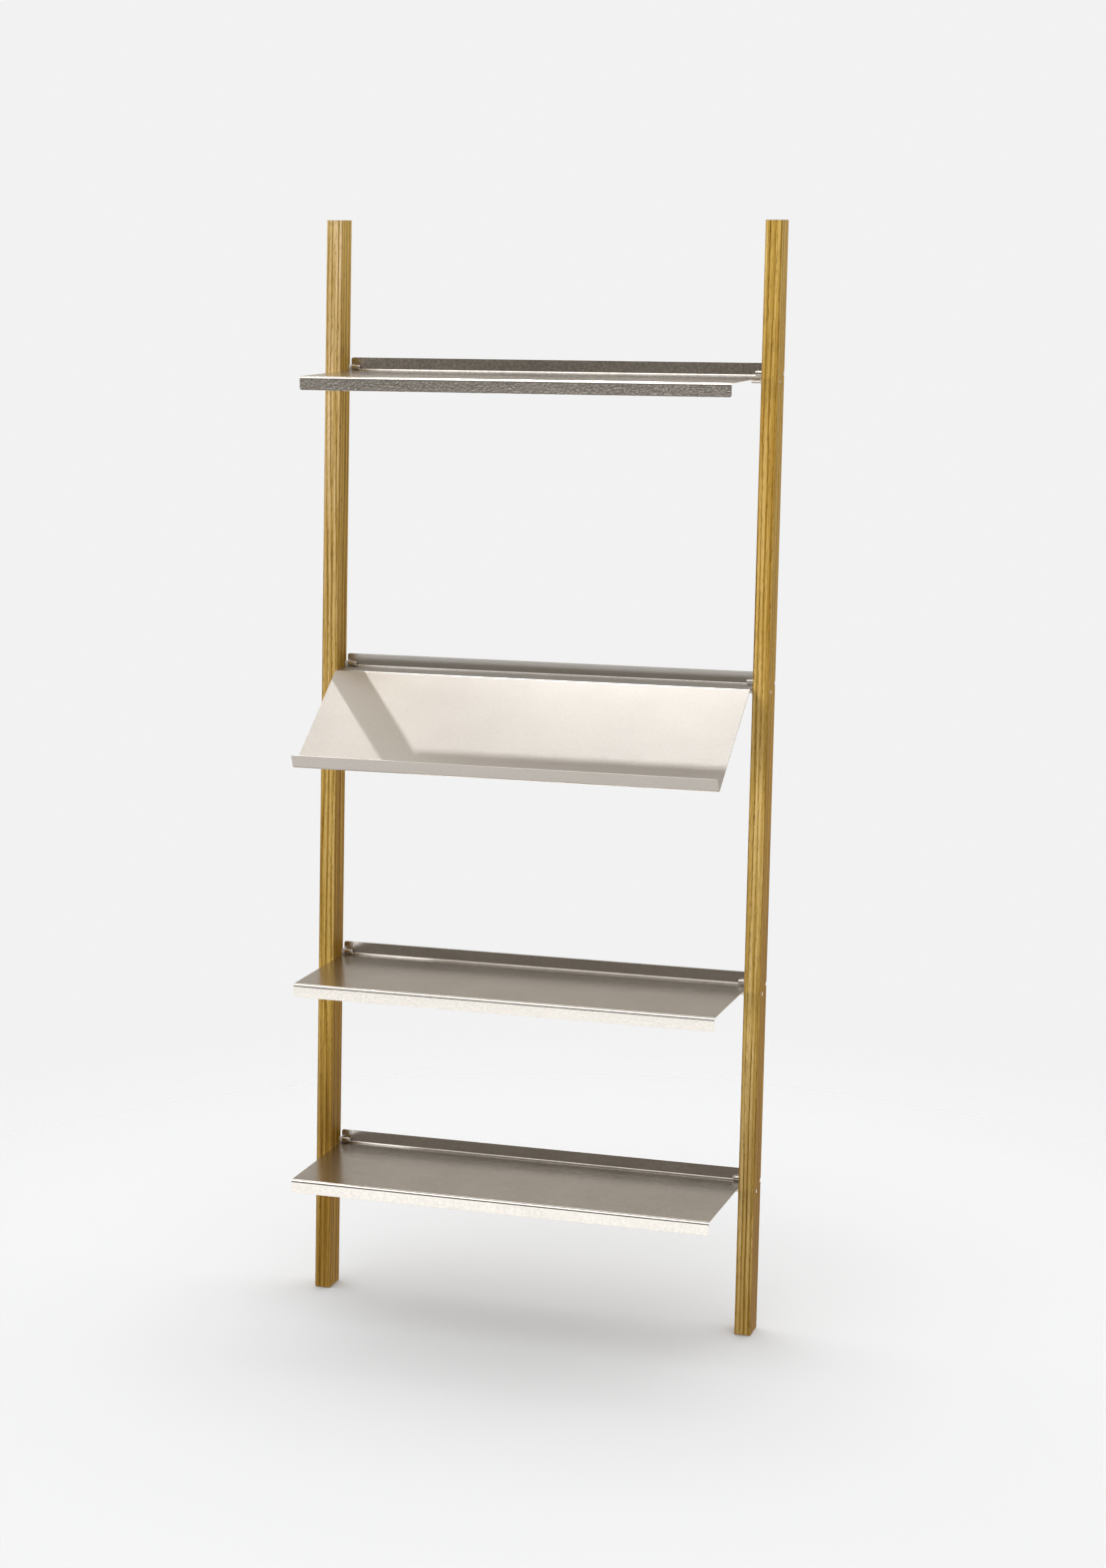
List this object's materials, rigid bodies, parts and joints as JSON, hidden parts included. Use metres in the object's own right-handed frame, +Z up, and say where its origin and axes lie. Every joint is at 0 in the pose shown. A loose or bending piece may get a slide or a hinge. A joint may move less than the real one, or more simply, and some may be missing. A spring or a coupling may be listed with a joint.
{
  "type": "ladder shelf",
  "caption": "Ladder shelf with oak stiles that lean on a wall and folded stainless steel shelves that lift out of steel pins, with a sloping display shelf for books.",
  "frame": {"origin": "centre of the frame on the floor, midway between the bottom shelf lip at the front and the wall pads at the back", "axes": "+X to the right seen from the front, +Y to the wall, +Z up"},
  "size_m": [0.8, 0.3398, 1.871],
  "materials": {
    "oak": "oiled, fine straight grain",
    "stainless_sheet": "satin, with soft reflections",
    "steel_pin": "polished",
    "nylon": "smooth white",
    "rubber_pad": "matt"
  },
  "bodies": {
    "frame": {"left_stile": "oak", "right_stile": "oak", "top_left_front_pin": "steel_pin", "top_left_rear_pin": "steel_pin", "top_right_front_pin": "steel_pin", "top_right_rear_pin": "steel_pin", "display_left_front_pin": "steel_pin", "display_left_rear_pin": "steel_pin", "display_right_front_pin": "steel_pin", "display_right_rear_pin": "steel_pin", "middle_left_front_pin": "steel_pin", "middle_left_rear_pin": "steel_pin", "middle_right_front_pin": "steel_pin", "middle_right_rear_pin": "steel_pin", "bottom_left_front_pin": "steel_pin", "bottom_left_rear_pin": "steel_pin", "bottom_right_front_pin": "steel_pin", "bottom_right_rear_pin": "steel_pin", "top_left_front_sleeve": "nylon", "top_left_rear_sleeve": "nylon", "top_right_front_sleeve": "nylon", "top_right_rear_sleeve": "nylon", "display_left_front_sleeve": "nylon", "display_left_rear_sleeve": "nylon", "display_right_front_sleeve": "nylon", "display_right_rear_sleeve": "nylon", "middle_left_front_sleeve": "nylon", "middle_left_rear_sleeve": "nylon", "middle_right_front_sleeve": "nylon", "middle_right_rear_sleeve": "nylon", "bottom_left_front_sleeve": "nylon", "bottom_left_rear_sleeve": "nylon", "bottom_right_front_sleeve": "nylon", "bottom_right_rear_sleeve": "nylon", "left_foot_pad": "rubber_pad", "right_foot_pad": "rubber_pad", "left_wall_pad": "rubber_pad", "right_wall_pad": "rubber_pad"},
    "top_shelf": {"top_shelf": "stainless_sheet"},
    "display_shelf": {"display_shelf": "stainless_sheet"},
    "middle_shelf": {"middle_shelf": "stainless_sheet"},
    "bottom_shelf": {"bottom_shelf": "stainless_sheet"}
  },
  "joints": [
    {"name": "top_shelf_tilt", "type": "hinge", "parent": "frame", "child": "top_shelf", "pos_m": [0, 0.12316, 1.6096], "axis": [-1, 0, 0], "range_deg": [0, 40]},
    {"name": "display_shelf_tilt", "type": "hinge", "parent": "frame", "child": "display_shelf", "pos_m": [0, 0.08915, 1.0976], "axis": [-1, 0, 0], "range_deg": [0, 40]},
    {"name": "middle_shelf_tilt", "type": "hinge", "parent": "frame", "child": "middle_shelf", "pos_m": [0, 0.05528, 0.5876], "axis": [-1, 0, 0], "range_deg": [0, 40]},
    {"name": "bottom_shelf_tilt", "type": "hinge", "parent": "frame", "child": "bottom_shelf", "pos_m": [0, 0.03269, 0.2476], "axis": [-1, 0, 0], "range_deg": [0, 40]}
  ]
}
